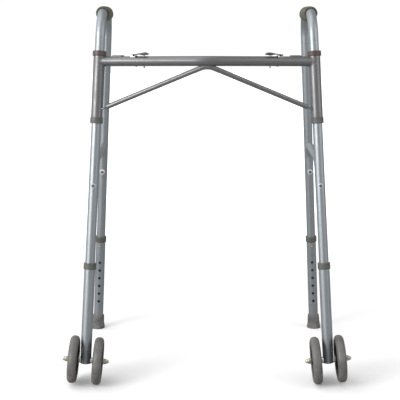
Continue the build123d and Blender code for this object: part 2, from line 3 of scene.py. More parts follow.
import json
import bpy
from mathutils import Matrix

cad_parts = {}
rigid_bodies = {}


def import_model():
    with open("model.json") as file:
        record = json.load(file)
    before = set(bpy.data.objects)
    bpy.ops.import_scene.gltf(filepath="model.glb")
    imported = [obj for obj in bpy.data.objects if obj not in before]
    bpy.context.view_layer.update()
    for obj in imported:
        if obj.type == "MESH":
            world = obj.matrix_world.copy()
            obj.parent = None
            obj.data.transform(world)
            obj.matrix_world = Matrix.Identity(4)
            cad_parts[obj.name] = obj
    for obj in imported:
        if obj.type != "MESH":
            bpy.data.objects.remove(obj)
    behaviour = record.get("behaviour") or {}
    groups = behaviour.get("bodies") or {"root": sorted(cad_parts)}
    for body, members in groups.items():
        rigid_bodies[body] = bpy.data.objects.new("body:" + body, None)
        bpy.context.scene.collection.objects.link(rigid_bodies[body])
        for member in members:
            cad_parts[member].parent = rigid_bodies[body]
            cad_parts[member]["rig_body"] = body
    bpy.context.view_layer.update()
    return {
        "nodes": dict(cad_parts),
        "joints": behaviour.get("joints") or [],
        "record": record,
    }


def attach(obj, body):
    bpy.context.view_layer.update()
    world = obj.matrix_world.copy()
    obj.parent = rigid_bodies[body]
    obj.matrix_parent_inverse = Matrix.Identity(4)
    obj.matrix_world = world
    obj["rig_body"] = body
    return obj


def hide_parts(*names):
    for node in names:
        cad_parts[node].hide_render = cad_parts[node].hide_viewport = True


bl_info = {
    "name": "Walking Frame Finish",
    "version": (1, 0, 0),
    "blender": (4, 5, 0),
    "location": "View3D > Sidebar > Walking Frame",
    "description": "Grips, feet, tyres, welds, finishes and a plain studio for a folding walking frame",
    "category": "Object",
}

from math import asin, cos, pi, radians, sin, sqrt, tan

import bmesh
import bpy
from bpy.props import FloatProperty, FloatVectorProperty, IntProperty, PointerProperty
from bpy.types import Operator, Panel, PropertyGroup
from mathutils import Matrix, Vector

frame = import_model()
SIDES = ("left", "right")
WHEELS = ("outer", "inner")
MM = 0.001
MERGE = 1e-6                # vertices closer than this, in metres, are the same one
FLAT = radians(1.0)         # faces closer than this are parts of one flat face
SHARP = radians(34)         # edges sharper than this are rounded
ARC_STEPS = 4               # straight steps in a rounded corner


# ---------------------------------------------------------------------------------------------
# Where things are, from the frame
# ---------------------------------------------------------------------------------------------
JOINTS = {joint["name"]: joint for joint in frame["joints"]}
MOUNTS = {mount["name"]: mount for mount in frame["record"]["mounts"]}


def joint_axis(name):
    return Vector(JOINTS[name]["axis"]).normalized()


def joint_point(name):
    return Vector(JOINTS[name]["pos_m"])


def axes_matrix(across, back, up, origin):
    """A place whose local X, Y and Z are the three directions."""
    turned = Matrix((across, back, up)).transposed().to_4x4()
    return Matrix.Translation(origin) @ turned


def front_place(side):
    """Local Z goes up the front leg from the axle, Y to the rear and X to the left."""
    up = joint_axis(side + "_front_height")
    back = -joint_axis(side + "_front_button_press")
    axle = (joint_point(side + "_outer_wheel_spin") + joint_point(side + "_inner_wheel_spin")) / 2
    return axes_matrix(back.cross(up), back, up, axle)


def rear_place(side):
    """Local Z goes up the rear leg from the floor, Y to the rear and X to the left."""
    up = joint_axis(side + "_rear_height")
    back = joint_axis(side + "_rear_button_press")
    return axes_matrix(back.cross(up), back, up, Vector(MOUNTS[side + "_foot_face"]["pos_m"]))


def bar_place(side):
    """Local X goes along the crossbar from the leg's axis to the middle, and Z is up."""
    along = joint_axis(side + "_bolt_slide")
    up = -joint_axis(side + "_plunger_slide")
    return axes_matrix(along, up.cross(along), up, joint_point(side + "_fold"))


def brace_place(side, weld):
    """Local X goes along the front brace from a sleeve's axis to the middle, and Z is up."""
    start = front_place(side).translation + joint_axis(side + "_front_height") * weld.brace_height
    bar = joint_point(side + "_fold")
    middle = Vector((0, bar.y - weld.bow, bar.z + weld.bow_rise - weld.brace_drop))
    along = (middle - start).normalized()
    back = Vector((0, 0, 1)).cross(along).normalized()
    return axes_matrix(along, back, along.cross(back), start)


def side_place(side, lean):
    """The side frame's own plane is local YZ, with Y level."""
    return front_place(side) @ Matrix.Rotation(lean, 4, "X")


# ---------------------------------------------------------------------------------------------
# Settings
# ---------------------------------------------------------------------------------------------
def length(name, description, default):
    return FloatProperty(name=name, description=description, default=default, min=0.0, unit="LENGTH")


def amount(name, description, default):
    return FloatProperty(name=name, description=description, default=default, min=0.0)


def angled(name, description, degrees):
    return FloatProperty(name=name, description=description, default=radians(degrees), subtype="ANGLE")


def colour(name, description, default):
    return FloatVectorProperty(name=name, description=description, default=default, size=3,
                               min=0.0, max=1.0, subtype="COLOR")


class GripSettings(PropertyGroup):
    """Foam grips on the top tubes."""
    radius: length("Radius", "Outer radius of the foam", 18.3 * MM)
    bore: length("Bore", "Radius of the tube inside", 12.75 * MM)
    lip: length("Lip", "Rounding of the foam's ends", 3.2 * MM)
    bend: length("Bend", "Radius of the tube's bends, at its centre", 70 * MM)
    line: length("Height", "Top tube above the axle, in the side frame's plane", 901.6 * MM)
    lean: angled("Lean", "Lean of the front legs", 7.15)
    front_wrap: angled("Front wrap", "Part of the front bend under the foam", 5)
    rear_wrap: angled("Rear wrap", "Part of the rear bend under the foam", 18)
    seam: length("Seam", "Depth of the slit closed along the underside", 0.7 * MM)
    segments: IntProperty(name="Segments", description="Faces around the foam", default=40, min=12)
    foam: colour("Foam", "Colour of the foam skin", (0.115, 0.112, 0.082))


class WheelSettings(PropertyGroup):
    """Tyres and hubs."""
    radius: length("Radius", "Outer radius of the tyre", 62.5 * MM)
    width: length("Width", "Width of the tyre", 24 * MM)
    rim: length("Rim", "Outer radius of the hub's rim", 50 * MM)
    rim_width: length("Rim width", "Width of the hub's rim", 19 * MM)
    shoulder: length("Shoulder", "Depth of the tyre's rounded tread", 10.5 * MM)
    crown: length("Crown", "Reach of the rounding from each side of the tyre", 10.5 * MM)
    line: length("Line", "Height of the moulding line round the tread", 0.35 * MM)
    segments: IntProperty(name="Segments", description="Faces around the tyre", default=128, min=24)
    rubber: colour("Tyre", "Colour of the tyre", (0.14, 0.138, 0.134))
    hub: colour("Hub", "Colour of the hub", (0.012, 0.011, 0.011))


class FootSettings(PropertyGroup):
    """Rubber feet under the rear legs."""
    top: length("Top", "Height of the foot up the leg", 43.5 * MM)
    neck: length("Neck", "Radius at the top", 17.6 * MM)
    base: length("Base", "Radius at the floor", 20.7 * MM)
    tube: length("Tube", "Radius of the leg inside", 14.35 * MM)
    segments: IntProperty(name="Segments", description="Faces around the foot", default=72, min=24)
    rubber: colour("Rubber", "Colour of the feet", (0.11, 0.11, 0.112))


class WeldSettings(PropertyGroup):
    """Weld beads on the front cross frame."""
    bead: length("Bead", "Radius of a bead's section", 1.9 * MM)
    sleeve: length("Sleeve", "Outer radius of the sleeves", 15 * MM)
    bar: length("Crossbar", "Outer radius of the crossbar", 12.7 * MM)
    tab_width: length("Tab width", "Half the width of the front brace's flattened ends", 8.5 * MM)
    tab_height: length("Tab height", "Half the thickness of the front brace's flattened ends", 2.2 * MM)
    brace_height: length("Brace height", "Front brace's ends above the axle, along the leg", 656 * MM)
    bow: length("Bow", "Middle of the crossbar in front of its ends", 75 * MM)
    bow_rise: length("Bow rise", "Middle of the crossbar above its ends", 4.4 * MM)
    brace_drop: length("Brace drop", "Middle of the front brace under the crossbar's", 11 * MM)
    ripples: IntProperty(name="Ripples", description="Ripples along a bead", default=30, min=4)


class MetalSettings(PropertyGroup):
    """Tubes, painted parts and fittings."""
    tube: colour("Tube", "Anodised aluminium", (0.42, 0.455, 0.48))
    paint: colour("Paint", "Grey metallic coat of the cross frame", (0.225, 0.225, 0.23))
    lever: colour("Lever", "Enamel of the release levers", (0.10, 0.10, 0.093))
    ring: colour("Ring", "Plastic rings over the sleeves", (0.105, 0.075, 0.07))
    bush: colour("Bush", "Plastic bushes under the sleeves", (0.12, 0.12, 0.115))
    collar: colour("Collar", "Plastic collars on the leg extensions", (0.12, 0.12, 0.105))
    zinc: colour("Zinc", "Plain zinc plate", (0.55, 0.55, 0.54))
    nickel: colour("Nickel", "Bright plate", (0.86, 0.86, 0.85))
    brass: colour("Brass", "Turned brass", (0.60, 0.54, 0.36))
    yellow: colour("Yellow zinc", "Yellow zinc plate", (0.66, 0.64, 0.52))
    plug: colour("Plug", "Plastic plugs in the tube ends", (0.02, 0.02, 0.021))


class StageSettings(PropertyGroup):
    """Floor, lights and camera."""
    floor: colour("Floor", "Pale floor", (0.93, 0.93, 0.93))
    key: amount("Key light", "Power of the light on the left, in watts", 92.0)
    fill: amount("Fill light", "Power of the light on the right, in watts", 30.0)
    left: amount("Left", "Brightness of the room on the left", 0.95)
    right: amount("Right", "Brightness of the room on the right", 0.34)
    overhead: amount("Overhead", "Brightness of the patch of light above", 0.7)
    glow: amount("Glow", "Extra brightness of the floor", 0.14)
    far_glow: amount("Far glow", "Extra brightness of the floor far behind the frame", 0.8)
    bounce: amount("Bounce", "Share of the floor's light that falls on the frame", 0.4)
    eye_height: length("Eye height", "Camera above the floor", 961.6 * MM)
    distance: length("Distance", "Camera to the front axles, along the floor", 2.5)
    tilt: angled("Tilt", "Camera's view below level", 10.575)
    side: FloatProperty(name="Side", description="Camera to the right of the frame's middle",
                        default=-18 * MM, unit="LENGTH")
    pan: angled("Pan", "Camera turned to its right", 0.41)
    roll: angled("Roll", "Camera turned about its view", 0.03)
    lens: FloatProperty(name="Lens", description="Focal length in millimetres", default=89.28, min=1.0)
    shift: FloatProperty(name="Shift", description="Sideways shift of the picture", default=-0.0178)


GROUPS = {
    "grip": GripSettings,
    "wheel": WheelSettings,
    "foot": FootSettings,
    "weld": WeldSettings,
    "metal": MetalSettings,
    "stage": StageSettings,
}


def settings(group):
    return getattr(bpy.context.scene, "walking_frame_" + group)


# ---------------------------------------------------------------------------------------------
# Mesh helpers
# ---------------------------------------------------------------------------------------------
def linked(name, data):
    """A new object in the scene."""
    item = bpy.data.objects.new(name, data)
    bpy.context.scene.collection.objects.link(item)
    return item


def as_piece(name, mesh, material):
    """Puts a bmesh into the scene as a smooth object at the origin."""
    data = bpy.data.meshes.new(name)
    mesh.to_mesh(data)
    mesh.free()
    data.shade_smooth()
    data.materials.append(material)
    return linked(name, data)


def finished(name, mesh, material, place=None):
    """A cleaned bmesh as a piece, with its place in its mesh."""
    if place is not None:
        mesh.transform(place)
    bmesh.ops.remove_doubles(mesh, verts=mesh.verts, dist=MERGE)
    bmesh.ops.recalc_face_normals(mesh, faces=mesh.faces)
    return as_piece(name, mesh, material)


def turned(profile, segments):
    """A closed outline of (radius, height) points, spun about Z."""
    mesh = bmesh.new()
    points = [mesh.verts.new((radius, 0, height)) for radius, height in profile]
    edges = [mesh.edges.new((a, b)) for a, b in zip(points, points[1:] + points[:1])]
    bmesh.ops.spin(mesh, geom=points + edges, cent=(0, 0, 0), axis=(0, 0, 1), dvec=(0, 0, 0),
                   angle=2 * pi, steps=segments, use_merge=True)
    return mesh


def rounded(corners):
    """An outline of (radius, height, rounding) corners, with each corner drawn as an arc."""
    outline = []
    count = len(corners)
    for n, (x, y, rounding) in enumerate(corners):
        here = Vector((x, y))
        before = Vector(corners[n - 1][:2]) - here
        after = Vector(corners[(n + 1) % count][:2]) - here
        if rounding <= 0:
            outline.append(here)
            continue
        half = before.angle(after) / 2
        reach = min(rounding / tan(half), before.length * 0.49, after.length * 0.49)
        start, stop = here + before.normalized() * reach, here + after.normalized() * reach
        for k in range(ARC_STEPS + 1):
            t = k / ARC_STEPS
            outline.append(start * (1 - t) ** 2 + here * (2 * t * (1 - t)) + stop * t * t)
    return [(point.x, point.y) for point in outline]


def softened(node, width, material):
    """A copy of a CAD node with its sharp edges rounded, which stands for the node."""
    mesh = bmesh.new()
    mesh.from_mesh(frame["nodes"][node].data)
    bmesh.ops.remove_doubles(mesh, verts=mesh.verts, dist=2 * MERGE)
    bmesh.ops.dissolve_limit(mesh, angle_limit=FLAT, verts=mesh.verts, edges=mesh.edges)
    piece = as_piece("soft_" + node, mesh, material)
    bevel = piece.modifiers.new("Rounded edges", "BEVEL")
    bevel.width = width
    bevel.segments = 2
    bevel.limit_method = "ANGLE"
    bevel.angle_limit = SHARP
    bevel.harden_normals = True
    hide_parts(node)
    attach(piece, frame["nodes"][node]["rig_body"])


# ---------------------------------------------------------------------------------------------
# Node groups
# ---------------------------------------------------------------------------------------------
def node_at(tree, kind, **inputs):
    """A new node with some of its sockets set or linked; a socket's name has _ for a space."""
    node = tree.nodes.new(kind)
    for name, value in inputs.items():
        socket = node.inputs[name.replace("_", " ")]
        if isinstance(value, bpy.types.NodeSocket):
            tree.links.new(value, socket)
        else:
            socket.default_value = value
    return node


def math(tree, operation, first, second=0.5, clamp=False):
    node = tree.nodes.new("ShaderNodeMath")
    node.operation = operation
    node.use_clamp = clamp
    for socket, value in zip(node.inputs, (first, second)):
        if isinstance(value, bpy.types.NodeSocket):
            tree.links.new(value, socket)
        else:
            socket.default_value = value
    return node.outputs[0]


def ramp(tree, value, low, high, to_low=0.0, to_high=1.0):
    node = node_at(tree, "ShaderNodeMapRange", Value=value)
    node.interpolation_type = "SMOOTHSTEP"
    node.inputs["From Min"].default_value = low
    node.inputs["From Max"].default_value = high
    node.inputs["To Min"].default_value = to_low
    node.inputs["To Max"].default_value = to_high
    return node.outputs["Result"]


def new_group(name, inputs, outputs):
    """A shader node group, its tree, its inputs by name and a function that closes it."""
    tree = bpy.data.node_groups.new(name, "ShaderNodeTree")
    for label, default in inputs.items():
        kind = "NodeSocketVector" if isinstance(default, tuple) else "NodeSocketFloat"
        socket = tree.interface.new_socket(name=label, in_out="INPUT", socket_type=kind)
        socket.default_value = default
    for label in outputs:
        kind = "NodeSocketVector" if label == "Normal" else "NodeSocketFloat"
        tree.interface.new_socket(name=label, in_out="OUTPUT", socket_type=kind)
    inside = tree.nodes.new("NodeGroupInput")
    result = tree.nodes.new("NodeGroupOutput")

    def close(**values):
        for label, value in values.items():
            tree.links.new(value, result.inputs[label])

    return tree, inside.outputs, close


def object_coordinates(tree, scale=None):
    """Object coordinates, multiplied by a vector socket if there is one."""
    coordinates = tree.nodes.new("ShaderNodeTexCoord").outputs["Object"]
    if scale is None:
        return coordinates
    node = tree.nodes.new("ShaderNodeVectorMath")
    node.operation = "MULTIPLY"
    tree.links.new(coordinates, node.inputs[0])
    tree.links.new(scale, node.inputs[1])
    return node.outputs[0]


def drawn_grain_group():
    """Fine lines left by drawing a tube: a value around a half, and a normal."""
    tree, given, close = new_group("Drawn grain", {"Stretch": (900.0, 900.0, 14.0), "Depth": 0.1},
                                   ("Value", "Normal"))
    where = object_coordinates(tree, given["Stretch"])
    lines = node_at(tree, "ShaderNodeTexNoise", Vector=where, Scale=1.0, Detail=3.0, Roughness=0.6)
    bump = node_at(tree, "ShaderNodeBump", Height=lines.outputs["Fac"], Strength=given["Depth"],
                   Distance=0.0002)
    close(Value=lines.outputs["Fac"], Normal=bump.outputs["Normal"])
    return tree


def handling_group():
    """Soft smudges and sparse thin scratches, as from use."""
    tree, given, close = new_group("Handling marks", {"Smudge size": 22.0, "Scratch size": 55.0},
                                   ("Smudge", "Scratch"))
    where = object_coordinates(tree)
    smudge = node_at(tree, "ShaderNodeTexNoise", Vector=where, Scale=given["Smudge size"], Detail=5.0,
                     Roughness=0.65)
    bent = node_at(tree, "ShaderNodeTexNoise", Vector=where, Scale=given["Scratch size"], Detail=2.0,
                   Distortion=1.5)
    near = math(tree, "SUBTRACT", bent.outputs["Fac"], 0.5)
    line = ramp(tree, math(tree, "ABSOLUTE", near), 0.0, 0.006, 1.0, 0.0)
    patches = node_at(tree, "ShaderNodeTexNoise", Vector=where, Scale=given["Smudge size"], Detail=2.0)
    sparse = ramp(tree, patches.outputs["Fac"], 0.56, 0.68)
    close(Smudge=smudge.outputs["Fac"], Scratch=math(tree, "MULTIPLY", line, sparse))
    return tree


def floor_dust_group():
    """Dust that thickens towards the floor, broken up by noise."""
    tree, given, close = new_group("Floor dust", {"Reach": 0.16, "Amount": 0.5}, ("Dust",))
    where = object_coordinates(tree)
    height = node_at(tree, "ShaderNodeSeparateXYZ", Vector=where)
    share = math(tree, "DIVIDE", height.outputs["Z"], given["Reach"])
    low = math(tree, "SUBTRACT", 1.0, share, clamp=True)
    noise = node_at(tree, "ShaderNodeTexNoise", Vector=where, Scale=60.0, Detail=6.0, Roughness=0.7)
    broken = ramp(tree, noise.outputs["Fac"], 0.35, 0.7)
    close(Dust=math(tree, "MULTIPLY", math(tree, "MULTIPLY", low, broken), given["Amount"]))
    return tree


def moulded_group():
    """Spark-eroded skin of a moulding: fine bump and a slow change of tone."""
    tree, given, close = new_group("Moulded skin", {"Fineness": 900.0, "Depth": 0.25},
                                   ("Tone", "Normal"))
    where = object_coordinates(tree)
    skin = node_at(tree, "ShaderNodeTexNoise", Vector=where, Scale=given["Fineness"], Detail=2.0)
    slow = node_at(tree, "ShaderNodeTexNoise", Vector=where, Scale=35.0, Detail=3.0)
    bump = node_at(tree, "ShaderNodeBump", Height=skin.outputs["Fac"], Strength=given["Depth"],
                   Distance=0.0003)
    close(Tone=slow.outputs["Fac"], Normal=bump.outputs["Normal"])
    return tree


def flake_group():
    """Metal flake in a coat, and its slight orange peel."""
    tree, given, close = new_group("Flake coat", {"Flake size": 2600.0, "Peel": 0.12},
                                   ("Flake", "Normal"))
    where = object_coordinates(tree)
    flakes = node_at(tree, "ShaderNodeTexVoronoi", Vector=where, Scale=given["Flake size"])
    grey = node_at(tree, "ShaderNodeSeparateColor", Color=flakes.outputs["Color"])
    peel = node_at(tree, "ShaderNodeTexNoise", Vector=where, Scale=260.0, Detail=2.0)
    bump = node_at(tree, "ShaderNodeBump", Height=peel.outputs["Fac"], Strength=given["Peel"],
                   Distance=0.0004)
    close(Flake=grey.outputs["Red"], Normal=bump.outputs["Normal"])
    return tree


def foam_group():
    """Pores and dents of closed-cell foam, and a dent value that the foam's colour follows as painted
    shade, lower where the dents lie deep.
    """
    tree, given, close = new_group("Foam cells", {"Pores": 1500.0, "Depth": 0.6}, ("Pore", "Normal"))
    where = object_coordinates(tree)
    cells = node_at(tree, "ShaderNodeTexVoronoi", Vector=where, Scale=given["Pores"])
    dents = node_at(tree, "ShaderNodeTexNoise", Vector=where, Scale=120.0, Detail=5.0, Roughness=0.6)
    together = math(tree, "ADD", cells.outputs["Distance"], dents.outputs["Fac"])
    bump = node_at(tree, "ShaderNodeBump", Height=together, Strength=given["Depth"], Distance=0.0006)
    # the dents value drives both the bump and the colour's painted shade in the dents
    close(Pore=dents.outputs["Fac"], Normal=bump.outputs["Normal"])
    return tree


NODE_GROUPS = {}


def effect(tree, name, **values):
    """One of the shared groups, placed in a material with its own values."""
    makers = {
        "grain": drawn_grain_group,
        "handling": handling_group,
        "dust": floor_dust_group,
        "moulded": moulded_group,
        "flake": flake_group,
        "foam": foam_group,
    }
    if name not in NODE_GROUPS:
        NODE_GROUPS[name] = makers[name]()
    node = tree.nodes.new("ShaderNodeGroup")
    node.node_tree = NODE_GROUPS[name]
    for label, value in values.items():
        node.inputs[label.replace("_", " ")].default_value = value
    return node.outputs


# ---------------------------------------------------------------------------------------------
# Materials
# ---------------------------------------------------------------------------------------------
def new_material(name, **plain):
    """A material with a Principled shader whose plain values are set on its own sockets."""
    material = bpy.data.materials.new(name)
    material.use_nodes = True
    tree = material.node_tree
    shader = tree.nodes["Principled BSDF"]
    for label, value in plain.items():
        shader.inputs[label.replace("_", " ")].default_value = value
    return material, tree, shader


def blended(tree, mask, first, second):
    """A colour that goes from first to second with the mask."""
    node = tree.nodes.new("ShaderNodeMix")
    node.data_type = "RGBA"
    for socket, value in ((node.inputs[0], mask), (node.inputs[6], first), (node.inputs[7], second)):
        if isinstance(value, bpy.types.NodeSocket):
            tree.links.new(value, socket)
        else:
            socket.default_value = value if isinstance(value, float) else (*value, 1.0)
    return node.outputs[2]


def shade(base, factor):
    return tuple(channel * factor for channel in base)


DUST = (0.42, 0.40, 0.37)


def tube_material(name, base, stretch):
    """Clear-anodised aluminium with drawing lines along it, smudges and dust near the floor."""
    material, tree, shader = new_material(name, Metallic=1.0, Specular_IOR_Level=0.5)
    grain = effect(tree, "grain", Stretch=stretch, Depth=0.12)
    marks = effect(tree, "handling", Smudge_size=14.0, Scratch_size=40.0)
    dust = effect(tree, "dust", Reach=0.22, Amount=0.35)
    lines = blended(tree, ramp(tree, grain["Value"], 0.3, 0.7), shade(base, 0.93), shade(base, 1.06))
    smudged = blended(tree, ramp(tree, marks["Smudge"], 0.35, 0.75, 0.0, 0.35), lines, shade(base, 0.86))
    scratched = blended(tree, math(tree, "MULTIPLY", marks["Scratch"], 0.5), smudged, shade(base, 1.5))
    tree.links.new(blended(tree, dust["Dust"], scratched, DUST), shader.inputs["Base Color"])
    rough = ramp(tree, marks["Smudge"], 0.3, 0.75, 0.44, 0.56)
    tree.links.new(math(tree, "ADD", rough, math(tree, "MULTIPLY", dust["Dust"], 0.3)),
                   shader.inputs["Roughness"])
    tree.links.new(grain["Normal"], shader.inputs["Normal"])
    return material


def paint_material(name, base, metallic=0.8, rough=0.38):
    """Metallic coat with flake, orange peel and small scratches."""
    material, tree, shader = new_material(name, Metallic=metallic, Coat_Weight=0.15, Coat_Roughness=0.3)
    coat = effect(tree, "flake", Peel=0.1)
    marks = effect(tree, "handling", Smudge_size=18.0, Scratch_size=70.0)
    flakes = blended(tree, coat["Flake"], shade(base, 0.86), shade(base, 1.16))
    smudged = blended(tree, ramp(tree, marks["Smudge"], 0.4, 0.75, 0.0, 0.4), flakes, shade(base, 0.8))
    scratched = blended(tree, math(tree, "MULTIPLY", marks["Scratch"], 0.6), smudged, shade(base, 2.0))
    tree.links.new(scratched, shader.inputs["Base Color"])
    dull = ramp(tree, marks["Smudge"], 0.3, 0.8, rough, rough + 0.14)
    tree.links.new(dull, shader.inputs["Roughness"])
    tree.links.new(coat["Normal"], shader.inputs["Normal"])
    return material


def plastic_material(name, base, rough, fineness=900.0, depth=0.25, dusty=0.0):
    """Moulded plastic or rubber with an eroded skin, pale scuffs and, low down, dust."""
    material, tree, shader = new_material(name, Specular_IOR_Level=0.45)
    skin = effect(tree, "moulded", Fineness=fineness, Depth=depth)
    marks = effect(tree, "handling", Smudge_size=30.0, Scratch_size=90.0)
    dust = effect(tree, "dust", Reach=0.14, Amount=dusty)
    tone = blended(tree, ramp(tree, skin["Tone"], 0.3, 0.7), shade(base, 0.85), shade(base, 1.15))
    scuffed = blended(tree, math(tree, "MULTIPLY", marks["Scratch"], 0.35), tone, shade(base, 2.2))
    tree.links.new(blended(tree, dust["Dust"], scuffed, DUST), shader.inputs["Base Color"])
    tree.links.new(ramp(tree, marks["Smudge"], 0.3, 0.75, rough - 0.08, rough + 0.12),
                   shader.inputs["Roughness"])
    tree.links.new(skin["Normal"], shader.inputs["Normal"])
    return material


def plated_material(name, base, rough):
    """Plated or turned metal with faint tool lines and dull patches."""
    material, tree, shader = new_material(name, Metallic=1.0)
    grain = effect(tree, "grain", Stretch=(500.0, 500.0, 500.0), Depth=0.05)
    marks = effect(tree, "handling", Smudge_size=90.0, Scratch_size=200.0)
    tone = blended(tree, ramp(tree, marks["Smudge"], 0.35, 0.7), shade(base, 1.0), shade(base, 0.78))
    tree.links.new(tone, shader.inputs["Base Color"])
    dull = ramp(tree, marks["Smudge"], 0.3, 0.75, rough, rough + 0.2)
    tree.links.new(dull, shader.inputs["Roughness"])
    tree.links.new(grain["Normal"], shader.inputs["Normal"])
    return material


def foam_material(name, base):
    """Closed-cell foam: matt, faintly mottled by painted shade, darker where its dents lie deep."""
    material, tree, shader = new_material(name, Specular_IOR_Level=0.3, Sheen_Weight=0.08,
                                          Sheen_Roughness=0.5)
    cells = effect(tree, "foam", Depth=0.55)
    marks = effect(tree, "handling", Smudge_size=26.0, Scratch_size=60.0)
    # painted shade: the foam is darker where its dents lie deep and lighter on their tops
    tone = blended(tree, ramp(tree, cells["Pore"], 0.3, 0.7), shade(base, 0.72), shade(base, 1.3))
    worn = blended(tree, ramp(tree, marks["Smudge"], 0.5, 0.8, 0.0, 0.5), tone, shade(base, 1.6))
    tree.links.new(worn, shader.inputs["Base Color"])
    tree.links.new(ramp(tree, marks["Smudge"], 0.3, 0.75, 0.62, 0.8), shader.inputs["Roughness"])
    tree.links.new(cells["Normal"], shader.inputs["Normal"])
    return material


MATERIALS = {}
UPRIGHT = (900.0, 900.0, 14.0)
FORE_AND_AFT = (900.0, 14.0, 900.0)


def finish_of(key):
    """A material by its key, made on first use."""
    metal, wheel, foot, grip = (settings(g) for g in ("metal", "wheel", "foot", "grip"))
    makers = {
        "leg_tube": lambda: tube_material("leg_tube", metal.tube, UPRIGHT),
        "brace_tube": lambda: tube_material("brace_tube", metal.tube, FORE_AND_AFT),
        "cross_paint": lambda: paint_material("cross_paint", metal.paint),
        "sleeve_paint": lambda: paint_material("sleeve_paint", metal.paint),
        "lever_enamel": lambda: paint_material("lever_enamel", metal.lever, 0.5, 0.42),
        "ring_plastic": lambda: plastic_material("ring_plastic", metal.ring, 0.42),
        "bush_plastic": lambda: plastic_material("bush_plastic", metal.bush, 0.45),
        "collar_plastic": lambda: plastic_material("collar_plastic", metal.collar, 0.48),
        "nylon": lambda: plastic_material("nylon", (0.62, 0.61, 0.56), 0.4),
        "washer_nylon": lambda: plastic_material("washer_nylon", (0.86, 0.87, 0.87), 0.3),
        "zinc": lambda: plated_material("zinc", metal.zinc, 0.32),
        "bolt_zinc": lambda: plated_material("bolt_zinc", shade(metal.zinc, 0.5), 0.38),
        "spring_steel": lambda: plated_material("spring_steel", shade(metal.zinc, 0.6), 0.3),
        "nickel": lambda: plated_material("nickel", metal.nickel, 0.14),
        "brass": lambda: plated_material("brass", metal.brass, 0.28),
        "yellow_zinc": lambda: plated_material("yellow_zinc", metal.yellow, 0.3),
        "foot_rubber": lambda: plastic_material("foot_rubber", foot.rubber, 0.66, 700.0, 0.3, 0.5),
        "tyre_rubber": lambda: plastic_material("tyre_rubber", wheel.rubber, 0.40, 600.0, 0.15, 0.4),
        "hub_plastic": lambda: plastic_material("hub_plastic", wheel.hub, 0.4, 800.0, 0.2, 0.12),
        "plug_plastic": lambda: plastic_material("plug_plastic", metal.plug, 0.45),
        "foam": lambda: foam_material("foam", grip.foam),
    }
    if key not in MATERIALS:
        MATERIALS[key] = makers[key]()
    return MATERIALS[key]


NODE_FINISHES = {
    "crossbar": "cross_paint",
    "front_brace": "cross_paint",
    "bolt_guides": "nylon",
    "crossbar_fasteners": "zinc",
    "sleeve": "sleeve_paint",
    "top_ring": "ring_plastic",
    "lower_bush": "bush_plastic",
    "bolt_spring": "spring_steel",
    "plunger": "yellow_zinc",
    "lock_bolt": "zinc",
    "side_tube": "leg_tube",
    "side_brace": "brace_tube",
    "brace_bolts": "bolt_zinc",
    "brace_washers": "washer_nylon",
    "button_springs": "spring_steel",
    "front_button": "brass",
    "rear_button": "brass",
    "front_leg": "leg_tube",
    "front_collar": "collar_plastic",
    "axle": "zinc",
    "axle_spacers": "nickel",
    "rear_leg": "leg_tube",
    "rear_collar": "collar_plastic",
}


def sided(name):
    """The full node names of a piece: one, or one on each side."""
    return [name] if name in frame["nodes"] else [side + "_" + name for side in SIDES]


# ---------------------------------------------------------------------------------------------
# Operators
# ---------------------------------------------------------------------------------------------
class WALKER_OT_finishes(Operator):
    """Give every CAD node that stays its own finish"""
    bl_idname = "walker.finishes"
    bl_label = "Node Finishes"

    def execute(self, context):
        for name, key in NODE_FINISHES.items():
            for node in sided(name):
                mesh = frame["nodes"][node].data
                mesh.materials.clear()
                mesh.materials.append(finish_of(key))
        return {"FINISHED"}


class WALKER_OT_fittings(Operator):
    """Round the sharp edges of levers, brackets, housings, hubs and nuts"""
    bl_idname = "walker.fittings"
    bl_label = "Rounded Fittings"

    def execute(self, context):
        for side in SIDES:
            softened(side + "_lever", 0.6 * MM, finish_of("lever_enamel"))
            softened(side + "_lever_bracket", 0.35 * MM, finish_of("zinc"))
            softened(side + "_bolt_housing", 0.4 * MM, finish_of("cross_paint"))
            softened(side + "_axle_nuts", 0.4 * MM, finish_of("yellow_zinc"))
            for wheel in WHEELS:
                softened(f"{side}_{wheel}_hub", 0.7 * MM, finish_of("hub_plastic"))
        return {"FINISHED"}


FRONT_STEPS, LEVEL_STEPS, REAR_STEPS = 6, 10, 12    # rings along the three parts of a grip
SWELL = 0.022               # the foam's crown as a share of its radius
SEAM_DOWN = -0.985          # vertices whose outward Z is below this lie in the slit


